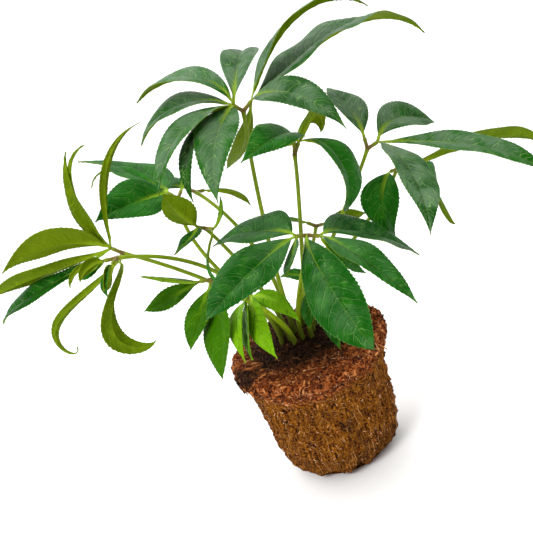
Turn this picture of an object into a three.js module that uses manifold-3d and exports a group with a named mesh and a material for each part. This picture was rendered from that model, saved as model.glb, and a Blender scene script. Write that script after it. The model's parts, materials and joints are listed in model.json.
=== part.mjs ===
// A hellebore lifted out of its nursery pot: a pot-shaped ball of peat, bark and roots, and the compound
// leaves that grow from its buried crown. Each leaf is one grown piece: a stalk that forks into two short
// arms, and toothed leaflets that spread from the arms like toes. The stalks stand in holes in the peat.
//
// Millimetres, +Z up. The origin is the centre of the flat base; the front leaf hangs towards -Y.
import * as THREE from "three";
import { mergeVertices } from "three/addons/utils/BufferGeometryUtils.js";
import Module from "manifold-3d";

const wasm = await Module();
wasm.setup();

// ---- Driving dimensions ----

const BALL = {
  height: 104, // base to the rim of the top
  // Rings of the cast of the pot, up from the flat that it stands on: radius, height, share of the relief.
  // The lowest peat has crumbled away, and the roots draw the side in below the bark-covered rim.
  rings: [
    [36, 0, 0],
    [42, 4, 1],
    [47, 14, 1],
    [50, 30, 1],
    [51, 46, 1],
    [52, 62, 1],
    [53, 76, 1],
    [58, 88, 1],
    [63, 97, 0.8],
    [60, 104, 0.8],
    [40, 104, 0],
    [20, 104, 0],
  ],
  relief: 2.6, // how far bark and roots stand out of the sides
  heap: 4, // how far the peat is heaped round the stalks
  heapRadius: 24,
  crown: [-5, 12], // middle of the heap, in plan
  segments: 44,
};
const STALK = {
  footRadius: 2,
  hubRadius: 1.4,
  foot: 94.2, // height of the stalk's lower end, in its hole
  upright: 0.2, // share of a stalk that still stands upright over the peat
  curve: 0.35, // share of a stalk that turns towards the fork
  sides: 6,
  steps: 8,
};
const HOLE = { clearance: 0.4, bottom: 94, top: 134, sides: 10 };
const FORK = { arm: 9, armRadius: 1.3, knob: 2.4 };
const BLADE = {
  rim: 0.8, // thickness at the margin
  rib: 1.6, // thickness along the midrib
  bare: 0.04, // share of a leaflet that is bare stalk
  bareHalfWidth: 1.2,
  tipHalfWidth: 0.5,
  taper: 2.3, // how sharply a blade narrows towards its two ends
  fold: 0.2, // depth of the midrib below the margins, as a share of the half width
  tooth: 0.08, // depth of a margin tooth, as a share of the half width
  toothFrom: 0.25, // share of a leaflet below its first tooth
  toothTo: 0.97, // share of a leaflet below the end of its last tooth
  cell: 14, // length of blade to one tooth
};

const USUAL_BEND = 1.2;
const USUAL_WIDEST = 0.5;

const COLOURS = {
  mature: new THREE.MeshStandardMaterial({ color: 0x1d6b1f, roughness: 0.42, metalness: 0 }),
  young: new THREE.MeshStandardMaterial({ color: 0x57a31b, roughness: 0.45, metalness: 0 }),
  peat: new THREE.MeshStandardMaterial({ color: 0x5a3416, roughness: 0.95, metalness: 0 }),
};

// Every leaf: where its stalk leaves the peat (foot, in plan), where the stalk forks (hub), how it comes to
// the fork (arrive: 0 is straight from the foot, 1 from right below, under 0 from above) and its leaflets.
// A leaflet is [arm, turn, rise, droop, sweep, length, width, roll, bend, widest]. Angles are in degrees:
// turn is its bearing from +X towards +Y and rise its slope where it leaves its arm; droop is how far it
// bends down by its tip and sweep how far it bends sideways; roll tips the blade about its midrib. The
// higher its bend, the more of the droop gathers towards the tip. Widest is the share of the blade below its
// widest place. A bend or widest that is left out is USUAL_BEND or USUAL_WIDEST.
const LEAVES = {
  leaf_tall: { age: "mature", foot: [-6, 12], hub: [14, 0, 293], arrive: -0.75, leaflets: [
    ["left", 135, 102, 140, 30, 92, 34, 5, 0.6],
    ["left", 60, 45, 75, 25, 90, 28, 10, 1.2, 0.6],
    ["right", 26, 55, 103, -8, 135, 30, -20, 1.4, 0.4],
    ["right", 22, 22, 78, 7, 178, 50, -4, 1.8, 0.38],
    ["right", -55, 35, 95, 5, 95, 28, 15, 0.9, 0.4],
    ["left", 162, 40, 100, 20, 83, 32, -4],
    ["left", 211, 25, 100, 0, 98, 28, 0, 1.2, 0.45],
    ["left", 243, 10, 92, -5, 90, 30, -10, 1.2, 0.4],
    ["left", 206, 10, 106, 35, 90, 14, 5, 1.4],
    ["right", 120, -58, -38, -22, 130, 14, 15, 0.6, 0.4],
  ] },
  leaf_centre: { age: "mature", foot: [8, 7], hub: [38, -5, 252], arrive: 0.1, leaflets: [
    ["right", 265, 66, 75, -47, 100, 29, -34, 0.5, 0.45],
    ["right", -21, 26, 175, -45, 90, 44, -18, 0.7],
    ["right", 35, 40, 230, 30, 50, 20, -50, 2.4, 0.4],
    ["left", 241, 27, 20, 16, 52, 20, 10],
    ["left", 40, 30, 25, 15, 35, 4, 5],
  ] },
  leaf_right: { age: "mature", foot: [10, 13], hub: [91, 10, 231], arrive: 0, leaflets: [
    ["left", 80, 48, 46, 30, 76, 28, 26, 0.7],
    ["right", 47, 42, 94, -15, 80, 32, 36, 0.7, 0.55],
    ["right", -13, -12, 50, 0, 142, 26, 15, 1.8],
    ["right", -73, 12, 42, -38, 128, 33, -37, 0.7, 0.45],
  ] },
  leaf_right_back: { age: "mature", foot: [9, 22], hub: [114, 50, 192], arrive: 0.3, leaflets: [
    ["left", -135, 16, 148, -20, 70, 36, -4, 0.7, 0.4],
    ["right", 20, -30, 135, 90, 85, 28, 90, 1.8, 0.55],
    ["right", 1, 4, 66, 20, 136, 26, -40, 2.2, 0.4],
  ] },
  leaf_front: { age: "mature", foot: [-2, 1], hub: [24, -60, 213], arrive: 0, leaflets: [
    ["left", 125, 35, 65, 10, 95, 40, -5, 0.5, 0.4],
    ["left", 222, 19, 35, -2, 98, 34, -24, 0.6],
    ["middle", -100, 15, 50, 30, 125, 36, 35, 0.6, 0.6],
    ["right", -64, 11, 55, 0, 97, 28, -19, 0.8, 0.45],
    ["right", 48, 4, 61, -20, 118, 40, 27, 0.5, 0.45],
    ["right", 0, -65, -10, 5, 45, 22, 15],
    ["left", 250, -5, 5, -5, 45, 16, 35],
  ] },
  leaf_far_left: { age: "mature", foot: [-16.5, 14.5], hub: [-103, -5, 227], arrive: -0.4, leaflets: [
    ["left", 186, 52, 75, 25, 86, 32, 50, 1],
    ["left", 172, -1, 20, -21, 114, 20, 50, 1.8, 0.55],
    ["left", 184, -11, 30, -60, 136, 19, -26, 2.4, 0.6],
    ["left", 180, 59, -60, -12, 82, 21, 40, 1, 0.4],
    ["right", 200, -20, 250, -60, 110, 8, 65, 4.5, 0.4],
    ["right", 285, 5, 225, -135, 110, 18, 60, 1.9],
    ["left", 75, 65, 70, -40, 110, 8, -100, 1.6, 0.4],
    ["left", 180, 70, -100, -40, 95, 14, 40, 2, 0.45],
  ] },
  leaf_far_left_small: { age: "mature", foot: [-18, 5], hub: [-103, -42, 239], arrive: -1.2, leaflets: [
    ["left", 205, 30, 90, 10, 25, 14, 60],
    ["right", 255, -5, 5, 0, 32, 14, 80],
    ["left", 170, -20, 0, -10, 25, 14, -15],
    ["right", 245, 10, 45, 30, 38, 12, 40],
    ["left", 180, 20, 95, 0, 35, 8, 45, 1.4],
  ] },
  leaf_upper_left: { age: "mature", foot: [-18.5, 19.5], hub: [-54, 40, 236], arrive: 2.2, leaflets: [
    ["left", 215, 35, 50, -20, 65, 44, -30, 0.8, 0.4],
    ["left", 100, 15, 5, 55, 115, 44, 20, 1.4, 0.4],
    ["right", 65, 15, 10, 15, 34, 8, 30],
    ["left", 120, 20, 75, 15, 115, 10, -5, 2.7, 0.4],
  ] },
  leaf_back_left: { age: "mature", foot: [-6, 25], hub: [-41, 70, 226], arrive: -2, leaflets: [
    ["right", 40, -20, 45, 0, 55, 14, -10],
    ["left", 130, 20, 70, 0, 60, 26, 0],
  ] },
  leaf_left_inner: { age: "mature", foot: [-11.5, 11.5], hub: [-42, 18, 214], arrive: -0.7, leaflets: [
    ["left", 195, 65, -5, 0, 38, 26, 55],
    ["left", 245, 0, 25, -45, 32, 20, 10, 1.4, 0.4],
    ["right", 20, 25, -60, 5, 26, 5, 15, 1],
    ["right", 235, -25, -30, 65, 80, 4, 55, 0.9],
  ] },
  leaf_lower_left: { age: "young", foot: [-11, 4.5], hub: [-49, -28, 193], arrive: 0, leaflets: [
    ["left", 175, -10, 5, -10, 48, 18, -30],
    ["left", 191, 34, 5, 0, 43, 20, 15],
    ["right", 240, -5, 30, 0, 55, 22, 5, 0.9],
    ["right", 267, -8, 34, -12, 80, 28, 35, 0.9, 0.55],
  ] },
  leaf_young_front: { age: "young", foot: [-9, -3], hub: [-28, -38, 175], arrive: 0, leaflets: [
    ["right", -55, 25, 75, 0, 50, 14, 25, 0.8, 0.4],
    ["right", -100, 10, 35, 25, 73, 17, 30, 0.6, 0.45],
    ["left", -116, 19, 65, 30, 70, 16, 30, 1.2, 0.4],
    ["left", -105, 0, 30, 15, 65, 18, 55, 1.7, 0.4],
  ] },
  leaf_back_small: { age: "mature", foot: [2, 20], hub: [38, 30, 179], arrive: 0, leaflets: [
    ["left", 205, 45, 40, 40, 30, 8, -30, 1.5],
    ["right", 50, -20, -5, -30, 50, 15, -80],
  ] },
  leaf_low_centre: { age: "mature", foot: [5, 0], hub: [24, -12, 151], arrive: 0, leaflets: [
    ["left", 175, 70, 80, 5, 28, 16, -5],
    ["left", 245, -5, 45, 0, 40, 18, 20],
    ["right", -95, -5, 50, 0, 55, 24, 50],
  ] },
};

// ---- Solids from points ----

const UP = new THREE.Vector3(0, 0, 1);

// A closed solid from its corner points and the triangles between them, as an object that joins and cuts.
function solid(geometry) {
  const bare = new THREE.BufferGeometry();
  bare.setAttribute("position", geometry.getAttribute("position"));
  bare.setIndex(geometry.getIndex());
  const welded = mergeVertices(bare, 1e-4);
  return new wasm.Manifold(new wasm.Mesh({
    numProp: 3,
    vertProperties: new Float32Array(welded.getAttribute("position").array),
    triVerts: new Uint32Array(welded.getIndex().array),
  }));
}

function solidFrom(points, triangles) {
  const geometry = new THREE.BufferGeometry();
  const corners = points.flatMap((point) => point.toArray());
  geometry.setAttribute("position", new THREE.Float32BufferAttribute(corners, 3));
  geometry.setIndex(triangles.flat());
  return solid(geometry);
}

function named(name, manifold, material) {
  const surface = manifold.getMesh();
  const geometry = new THREE.BufferGeometry();
  geometry.setAttribute("position", new THREE.BufferAttribute(new Float32Array(surface.vertProperties), 3));
  geometry.setIndex(new THREE.BufferAttribute(new Uint32Array(surface.triVerts), 1));
  const object = new THREE.Mesh(geometry, material);
  object.name = name;
  return object;
}

// A round stem of changing thickness along a row of points.
function stem(path, radiusAt, sides) {
  const points = [];
  const triangles = [];
  const last = path.length - 1;
  let across = new THREE.Vector3(1, 0.4, 0.2); // no stem runs this way
  for (let i = 0; i <= last; i += 1) {
    const along = path[Math.min(i + 1, last)].clone().sub(path[Math.max(i - 1, 0)]).normalize();
    across = across.clone().addScaledVector(along, -across.dot(along)).normalize();
    const beside = along.clone().cross(across);
    for (let k = 0; k < sides; k += 1) {
      const angle = (2 * Math.PI * k) / sides;
      const radius = radiusAt(i / last);
      points.push(path[i].clone()
        .addScaledVector(across, radius * Math.cos(angle))
        .addScaledVector(beside, radius * Math.sin(angle)));
    }
  }
  for (let i = 0; i < last; i += 1) {
    for (let k = 0; k < sides; k += 1) {
      const a = i * sides + k;
      const b = i * sides + ((k + 1) % sides);
      triangles.push([a, b, b + sides], [a, b + sides, a + sides]);
    }
  }
  for (let k = 1; k < sides - 1; k += 1) {
    triangles.push([0, k + 1, k], [last * sides, last * sides + k, last * sides + k + 1]);
  }
  return solidFrom(points, triangles);
}

// The swollen joint where stalk, arms and leaflets meet.
function knob(at, radius) {
  return solid(new THREE.IcosahedronGeometry(radius, 0).translate(at.x, at.y, at.z));
}

// ---- Leaflets ----

const radians = THREE.MathUtils.degToRad;

function heading(turn, rise) {
  const level = Math.cos(rise);
  return new THREE.Vector3(level * Math.cos(turn), level * Math.sin(turn), Math.sin(rise));
}

// The midrib of a leaflet, as points with the direction across the blade and the one out of its top face.
function midrib(start, leaflet, steps) {
  const stations = [];
  const point = start.clone();
  for (let i = 0; i <= steps; i += 1) {
    const s = i / steps;
    const turn = radians(leaflet.turn + leaflet.sweep * s);
    const rise = radians(leaflet.rise - leaflet.droop * s ** leaflet.bend);
    const along = heading(turn, rise);
    const across = new THREE.Vector3(-Math.sin(turn), Math.cos(turn), 0);
    across.applyAxisAngle(along, radians(leaflet.roll));
    stations.push({ s, point: point.clone(), across, out: along.clone().cross(across) });
    const half = s + 0.5 / steps;
    const next = heading(
      radians(leaflet.turn + leaflet.sweep * half),
      radians(leaflet.rise - leaflet.droop * half ** leaflet.bend),
    );
    point.addScaledVector(next, leaflet.length / steps);
  }
  return stations;
}

// Half the width of a blade at a share of its length: bare stalk, a wedge-shaped base, a long drawn tip.
function halfWidth(s, { width, widest }) {
  const u = Math.max(0, (s - BLADE.bare) / (1 - BLADE.bare));
  const swelling = (u / widest) ** (BLADE.taper * widest);
  const narrowing = ((1 - u) / (1 - widest)) ** (BLADE.taper * (1 - widest));
  const least = s < 0.5 ? BLADE.bareHalfWidth : BLADE.tipHalfWidth;
  return Math.max((width / 2) * swelling * narrowing, least);
}

// One leaflet: both faces share the midrib points and a margin that steps out to a tooth in every cell.
function blade(start, leaflet) {
  const cells = Math.max(4, Math.round(leaflet.length / BLADE.cell));
  const stations = midrib(start, leaflet, cells * 4);
  const points = [];
  const triangles = [];
  const add = (station, offset, lift, thickness) => {
    const at = station.point.clone().addScaledVector(station.across, offset);
    points.push(at.clone().addScaledVector(station.out, lift + BLADE.rim / 2));
    points.push(at.clone().addScaledVector(station.out, lift + BLADE.rim / 2 - thickness));
    return points.length - 2; // the top point; the one below it is next
  };
  const margin = (station, side, isTooth) => {
    const toothed = station.s > BLADE.toothFrom && station.s < BLADE.toothTo;
    const depth = toothed ? (isTooth ? 1 + BLADE.tooth : 1 - BLADE.tooth) : 1;
    const reach = halfWidth(station.s, leaflet) * depth;
    return add(station, side * reach, 0, BLADE.rim);
  };
  const rib = [];
  const edges = [];
  for (let i = 0; i <= cells; i += 1) {
    const dip = -BLADE.fold * halfWidth(i / cells, leaflet);
    rib.push(add(stations[i * 4], 0, dip, i === cells ? BLADE.rim : BLADE.rib));
  }
  for (const side of [1, -1]) {
    const edge = [];
    for (let i = 0; i <= cells; i += 1) {
      edge.push(margin(stations[i * 4], side, false));
      if (i < cells) {
        edge.push(margin(stations[i * 4 + 3], side, true));
      }
    }
    edges.push(edge);
  }
  // The top face winds one way and the face below it the other way, over the same corners.
  const both = (a, b, c) => triangles.push([a, b, c], [a + 1, c + 1, b + 1]);
  const wall = (a, b) => triangles.push([a, a + 1, b + 1], [a, b + 1, b]);
  for (let i = 0; i < cells; i += 1) {
    const [left, right] = edges;
    const k = 2 * i;
    both(rib[i], left[k + 1], left[k]);
    both(rib[i], rib[i + 1], left[k + 1]);
    both(rib[i + 1], left[k + 2], left[k + 1]);
    both(rib[i], right[k], right[k + 1]);
    both(rib[i], right[k + 1], rib[i + 1]);
    both(rib[i + 1], right[k + 1], right[k + 2]);
    wall(left[k + 1], left[k]);
    wall(left[k + 2], left[k + 1]);
    wall(right[k], right[k + 1]);
    wall(right[k + 1], right[k + 2]);
  }
  const end = 2 * cells;
  wall(edges[0][0], rib[0]);
  wall(rib[0], edges[1][0]);
  wall(edges[1][end], rib[cells]);
  wall(rib[cells], edges[0][end]);
  return solidFrom(points, triangles);
}

// ---- Leaves ----

// A stalk stands upright in its hole, clears the peat and then curves to its fork.
function stalkPath(leaf, hub) {
  const foot = new THREE.Vector3(leaf.foot[0], leaf.foot[1], STALK.foot);
  const mouth = foot.clone().setZ(BALL.height + BALL.heap + 2);
  const reach = hub.clone().sub(mouth);
  const length = reach.length();
  const before = hub.clone()
    .addScaledVector(reach, -STALK.curve * (1 - leaf.arrive))
    .addScaledVector(UP, -STALK.curve * length * leaf.arrive);
  const above = mouth.clone().addScaledVector(UP, STALK.upright * length);
  const curve = new THREE.CubicBezierCurve3(mouth, above, before, hub);
  return [foot, ...curve.getPoints(STALK.steps)];
}

function leafSolid(leaf) {
  const hub = new THREE.Vector3(...leaf.hub);
  const leaflets = leaf.leaflets.map((row) => {
    const [arm, turn, rise, droop, sweep, length, width, roll] = row;
    const [bend = USUAL_BEND, widest = USUAL_WIDEST] = row.slice(8);
    return { arm, turn, rise, droop, sweep, length, width, roll, bend, widest };
  });
  const taper = (share) => THREE.MathUtils.lerp(STALK.footRadius, STALK.hubRadius, share);
  const pieces = [stem(stalkPath(leaf, hub), taper, STALK.sides), knob(hub, FORK.knob)];
  const starts = { middle: hub };
  for (const arm of ["left", "right"]) {
    const borne = leaflets.filter((leaflet) => leaflet.arm === arm);
    const lean = new THREE.Vector3();
    borne.forEach((leaflet) => lean.add(heading(radians(leaflet.turn), radians(leaflet.rise))));
    starts[arm] = hub.clone().addScaledVector(lean.normalize(), FORK.arm);
    pieces.push(stem([hub, starts[arm]], () => FORK.armRadius, STALK.sides), knob(starts[arm], FORK.knob));
  }
  leaflets.forEach((leaflet) => pieces.push(blade(starts[leaflet.arm], leaflet)));
  return wasm.Manifold.union(pieces);
}

// ---- Root ball ----

// The heap of peat that the stalks come up through.
function heapAt(x, y) {
  const away = Math.hypot(x - BALL.crown[0], y - BALL.crown[1]);
  return BALL.heap * Math.exp(-((away / BALL.heapRadius) ** 2));
}

// How far the side stands out or in at a place, between -1 and 1: broad bulges, root ridges, bark lumps.
function lumpsAt(angle, height) {
  const bulges = Math.sin(3 * angle + height / 20 + 1);
  const ridges = Math.sin(11 * angle + Math.sin(height / 14) * 1.5);
  const bark = Math.sin(17 * angle + height / 3 + 4) * Math.cos(height / 4 - 5 * angle);
  return (bulges + ridges + bark) / 3;
}

// The ball is rings of points joined up from the base to the top, with a hole for every stalk.
function ballSolid() {
  const points = [new THREE.Vector3(0, 0, 0)];
  const triangles = [];
  const count = BALL.segments;
  BALL.rings.forEach(([radius, height, share], ring) => {
    for (let k = 0; k < count; k += 1) {
      const angle = (2 * Math.PI * (k + (ring % 2) / 2)) / count;
      const out = radius + BALL.relief * share * lumpsAt(angle, height);
      const x = out * Math.cos(angle);
      const y = out * Math.sin(angle);
      points.push(new THREE.Vector3(x, y, height < BALL.height ? height : height + heapAt(x, y)));
    }
  });
  for (let k = 0; k < count; k += 1) {
    triangles.push([0, 1 + ((k + 1) % count), 1 + k]);
  }
  for (let ring = 0; ring < BALL.rings.length - 1; ring += 1) {
    for (let k = 0; k < count; k += 1) {
      const next = (k + 1) % count;
      const low = 1 + ring * count;
      const high = low + count;
      if (ring % 2 === 0) {
        triangles.push([low + k, low + next, high + k], [low + next, high + next, high + k]);
      } else {
        triangles.push([low + k, low + next, high + next], [low + k, high + next, high + k]);
      }
    }
  }
  const top = points.length;
  points.push(new THREE.Vector3(0, 0, BALL.height + heapAt(0, 0)));
  for (let k = 0; k < count; k += 1) {
    triangles.push([top, top - count + k, top - count + ((k + 1) % count)]);
  }
  let ball = solidFrom(points, triangles);
  for (const leaf of Object.values(LEAVES)) {
    const radius = STALK.footRadius + HOLE.clearance;
    const hole = new THREE.CylinderGeometry(radius, radius, HOLE.top - HOLE.bottom, HOLE.sides);
    hole.rotateX(Math.PI / 2).translate(leaf.foot[0], leaf.foot[1], (HOLE.top + HOLE.bottom) / 2);
    ball = ball.subtract(solid(hole));
  }
  return ball;
}

const plant = new THREE.Group();
plant.name = "hellebore_plant";
plant.add(named("root_ball", ballSolid(), COLOURS.peat));
for (const [name, leaf] of Object.entries(LEAVES)) {
  plant.add(named(name, leafSolid(leaf), COLOURS[leaf.age]));
}

export default plant;
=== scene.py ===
import json
import math

import bpy
import numpy as np
from mathutils import Matrix, Vector, noise
from mathutils.bvhtree import BVHTree

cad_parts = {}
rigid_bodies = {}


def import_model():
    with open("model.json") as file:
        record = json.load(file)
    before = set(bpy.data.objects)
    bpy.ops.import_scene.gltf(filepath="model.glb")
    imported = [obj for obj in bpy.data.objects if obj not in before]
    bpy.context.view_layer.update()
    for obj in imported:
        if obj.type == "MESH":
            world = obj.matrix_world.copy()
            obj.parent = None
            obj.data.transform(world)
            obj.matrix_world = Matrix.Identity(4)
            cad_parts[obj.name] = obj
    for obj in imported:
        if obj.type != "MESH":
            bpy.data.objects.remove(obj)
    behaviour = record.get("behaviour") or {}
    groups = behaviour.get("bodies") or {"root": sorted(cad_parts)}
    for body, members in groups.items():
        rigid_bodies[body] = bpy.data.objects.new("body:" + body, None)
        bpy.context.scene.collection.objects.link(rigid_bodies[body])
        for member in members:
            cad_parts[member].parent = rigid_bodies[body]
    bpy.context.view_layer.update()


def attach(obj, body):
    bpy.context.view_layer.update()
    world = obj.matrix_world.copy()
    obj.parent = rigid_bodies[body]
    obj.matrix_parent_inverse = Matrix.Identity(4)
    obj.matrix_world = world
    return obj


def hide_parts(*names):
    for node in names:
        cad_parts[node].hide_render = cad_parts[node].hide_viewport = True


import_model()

# ---- Root ball ----
# Peat, bark and fine roots that a round nursery pot has pressed into one tapered lump. Red-brown bark chips
# lie on the top and hang over the shoulder; below them the sides are ochre peat, bound by a felt of roots
# that run down to a ragged lower edge. Nothing holds it together but the roots.

MM = 0.001
BALL_RINGS = [  # radius and height in millimetres, and the share of the relief there
    (36, 0, 0.0), (42, 4, 1.0), (47, 14, 1.0), (50, 30, 1.0), (51, 46, 1.0), (52, 62, 1.0),
    (53, 76, 1.0), (58, 88, 1.0), (63, 97, 0.8), (60, 104, 0.8), (40, 104, 0.0), (20, 104, 0.0),
    (0, 104, 0.0),
]
BALL_HEIGHT = 104
BALL_RELIEF = 2.6
CRUMB_RELIEF = 1.5
FIBRE_RELIEF = 1.0
TOP_RELIEF = 1.8
TOP_SUNK = 0.4  # how far the top lies below its height, so that crumbs stay within it
BREAK_DEPTH = 5.5  # how far the broken lower edge is set back
CROWN = (-5, 12)
HEAP = 4
HEAP_RADIUS = 24
DARK_SHOULDER_SPOT = (-57, -17, 101)
BARK_SLANT = 0.12  # how much higher the bark begins for each millimetre to the right
BALL_AROUND = 264
BALL_STEP = 1.25  # millimetres between rings of the finished surface


def lumps(angle, height):
    """The bulges, root ridges and bark lumps of the side, between -1 and 1."""
    bulges = np.sin(3 * angle + height / 20 + 1)
    ridges = np.sin(11 * angle + np.sin(height / 14) * 1.5)
    bark = np.sin(17 * angle + height / 3 + 4) * np.cos(height / 4 - 5 * angle)
    return (bulges + ridges + bark) / 3


def rough(point, size, octaves):
    """Uneven ground: noise whose largest lumps are size millimetres."""
    return noise.fractal(Vector(point) / size, 1.0, 2.0, octaves)


def ramp_up(value, full):
    """0 at nothing and below, 1 from full on, and a straight slope between them."""
    return min(1.0, max(0.0, value / full))


def from_crown(x, y):
    """How far a point is from the crown, seen from above."""
    return np.hypot(x - CROWN[0], y - CROWN[1])


def heap_at(x, y):
    """How high the soil is heaped round the crown."""
    return HEAP * math.exp(-((from_crown(x, y) / HEAP_RADIUS) ** 2))


def ball_surface():
    """The ball's skin, from the middle of its base out, up and over to the middle of its top."""
    corners = np.array([(0, 0, 0.0), *BALL_RINGS], float)
    run = np.concatenate([[0], np.cumsum(np.hypot(*np.diff(corners[:, :2], axis=0).T))])
    steps = int(run[-1] / BALL_STEP)
    rows = []
    for i in range(1, steps):
        at = run[-1] * i / steps
        rows.append([np.interp(at, run, corners[:, k]) for k in range(3)])
    angles = np.arange(BALL_AROUND) * 2 * math.pi / BALL_AROUND
    points = [(0.0, 0.0, 0.0)]
    for radius, height, share in rows:
        for angle in angles:
            ahead = (math.cos(angle), math.sin(angle))
            out = radius + BALL_RELIEF * share * float(lumps(angle, height))
            x, y = out * ahead[0], out * ahead[1]
            crumbs = rough((x, y, height), 7, 4)
            fibres = rough((x * 2.2, y * 2.2, height * 0.5), 6, 3)
            if height < BALL_HEIGHT - 0.5:
                # The lower edge is broken off unevenly, up to a height that wanders round the ball.
                broken = 5 + 13 * rough((40 * ahead[0], 40 * ahead[1], 7), 9, 3)
                gap = BREAK_DEPTH * ramp_up(broken - height, 2.5) * ramp_up(height, 1.5)
                out += (CRUMB_RELIEF * crumbs + FIBRE_RELIEF * fibres) * ramp_up(height, 4) - gap
                points.append((out * ahead[0], out * ahead[1], height))
            else:
                points.append((x, y, height + heap_at(x, y) + TOP_RELIEF * crumbs - TOP_SUNK))
    points.append((0.0, 0.0, BALL_HEIGHT + heap_at(0, 0)))
    faces = []
    count = BALL_AROUND
    last = len(rows) - 1
    for k in range(count):
        after = (k + 1) % count
        faces.append((0, 1 + after, 1 + k))
        for i in range(last):
            low = 1 + i * count
            faces.append((low + k, low + after, low + count + after, low + count + k))
        faces.append((1 + last * count + k, 1 + last * count + after, len(points) - 1))
    return points, faces


def new_piece(name, points, faces, materials):
    """An object whose place is in its mesh, from points in millimetres."""
    mesh = bpy.data.meshes.new(name)
    mesh.from_pydata((np.asarray(points, float) * MM).tolist(), [], faces)
    for material in materials:
        mesh.materials.append(material)
    mesh.polygons.foreach_set("use_smooth", [True] * len(mesh.polygons))
    piece = bpy.data.objects.new(name, mesh)
    bpy.context.scene.collection.objects.link(piece)
    return piece


def add_node(tree, kind, settings, values):
    """A node of this kind, its settings made first, then its sockets filled by name or place."""
    node = tree.nodes.new(kind)
    for name, setting in settings.items():
        if name == "stops":
            ramp = node.color_ramp
            for position, _ in setting[2:]:
                ramp.elements.new(position)
            for element, (position, colour) in zip(ramp.elements, sorted(setting)):
                element.position, element.color = position, (*colour, 1)
        else:
            setattr(node, name, setting)
    for name, value in values.items():
        found = [s for s in node.inputs if s.identifier == name] or [node.inputs[name]]
        if isinstance(value, (Strand, bpy.types.NodeSocket)):
            tree.links.new(getattr(value, "socket", value), found[0])
        elif isinstance(value, tuple) and found[0].type == "RGBA":
            found[0].default_value = (*value, 1)
        else:
            found[0].default_value = value
    return node


class Strand:
    """An output of a material's nodes; sums on it become Math nodes."""

    def __init__(self, socket):
        self.socket = socket

    def maths(self, operation, *values):
        tree = self.socket.id_data
        filled = {("Value", "Value_001", "Value_002")[i]: v for i, v in enumerate(values)}
        return Strand(add_node(tree, "ShaderNodeMath", {"operation": operation}, filled).outputs[0])

    def __add__(self, other):
        return self.maths("ADD", self, other)

    def __sub__(self, other):
        return self.maths("SUBTRACT", self, other)

    def __rsub__(self, other):
        return self.maths("SUBTRACT", other, self)

    def __mul__(self, other):
        return self.maths("MULTIPLY", self, other)

    __radd__ = __add__
    __rmul__ = __mul__


class Finish:
    """A material under way: its nodes, and the shader that they end in."""

    def __init__(self, name):
        self.material = bpy.data.materials.new(name)
        self.material.use_nodes = True
        self.tree = self.material.node_tree
        self.shader = self.tree.nodes["Principled BSDF"]

    def node(self, kind, settings=None, values=None, output=0):
        """One output of a new node in this material."""
        return Strand(add_node(self.tree, kind, settings or {}, values or {}).outputs[output])

    def place(self):
        """Where the surface is, in metres, as the piece was modelled."""
        return self.node("ShaderNodeTexCoord", output="Object")

    def carried(self, name, output="Vector"):
        """What the piece carries on its points under this name."""
        return self.node("ShaderNodeAttribute", {"attribute_name": name}, output=output)

    def parts(self, vector):
        """The three numbers of a vector."""
        outputs = self.node("ShaderNodeSeparateXYZ", {}, {"Vector": vector}).socket.node.outputs
        return [Strand(socket) for socket in outputs]

    def clouds(self, place, scale, detail, output=0):
        """Noise between 0 and 1, with scale lumps to the unit of place; output 1 is three of them."""
        values = {"Vector": place, "Scale": scale, "Detail": detail}
        return self.node("ShaderNodeTexNoise", {}, values, output)

    def grain(self, place, scale, detail=4, stretch=(1, 1, 1)):
        """Clouds that are drawn out where stretch is small."""
        drawn = self.node("ShaderNodeMapping", {}, {"Vector": place, "Scale": stretch})
        return self.clouds(drawn, scale, detail)

    def step(self, value, low, high):
        """0 below low, 1 above high, and a smooth slope between them."""
        values = {"Value": value, "From Min": low, "From Max": high}
        return self.node("ShaderNodeMapRange", {"interpolation_type": "SMOOTHSTEP"}, values)

    def blend(self, share, first, second):
        """From the first colour to the second as share goes from 0 to 1."""
        values = {"Factor_Float": share, "A_Color": first, "B_Color": second}
        return self.node("ShaderNodeMix", {"data_type": "RGBA"}, values, output=2)

    def ramp(self, value, *stops):
        """Colours that follow one another as value grows, each given with the value it stands at."""
        return self.node("ShaderNodeValToRGB", {"stops": list(stops)}, {"Fac": value})

    def coat(self, colour, roughness, height=None, depth=0.0, **constants):
        """Gives the shader its colour, roughness and relief, and numbers that are the same all over."""
        values = {"Base Color": colour, "Roughness": roughness}
        if height is not None:
            bump = {"Height": height, "Distance": depth * MM, "Strength": 1.0}
            values["Normal"] = self.node("ShaderNodeBump", {}, bump)
        values.update({name.replace("_", " "): number for name, number in constants.items()})
        for name, value in values.items():
            if isinstance(value, Strand):
                self.tree.links.new(value.socket, self.shader.inputs[name])
            elif isinstance(value, tuple):
                self.shader.inputs[name].default_value = (*value, 1)
            else:
                self.shader.inputs[name].default_value = value
        return self.material


def crown_shade_and_dark_spot(finish, place, drift):
    """How much near-black is painted at a place: painted shade in the pit round the crown, and a dark spot on
    the left shoulder.
    """
    shares = []
    for spot, inner, outer in (((*CROWN, 106), 0.034, 0.058), (DARK_SHOULDER_SPOT, 0.005, 0.015)):
        offset = finish.node("ShaderNodeVectorMath", {"operation": "DISTANCE"}, {
            "Vector": place, "Vector_001": tuple(c * MM for c in spot),
        }, output="Value")
        shares.append(1 - finish.step(offset + drift * 0.03 - 0.015, inner, outer))
    return shares[0].maths("MAXIMUM", *shares)


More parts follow.
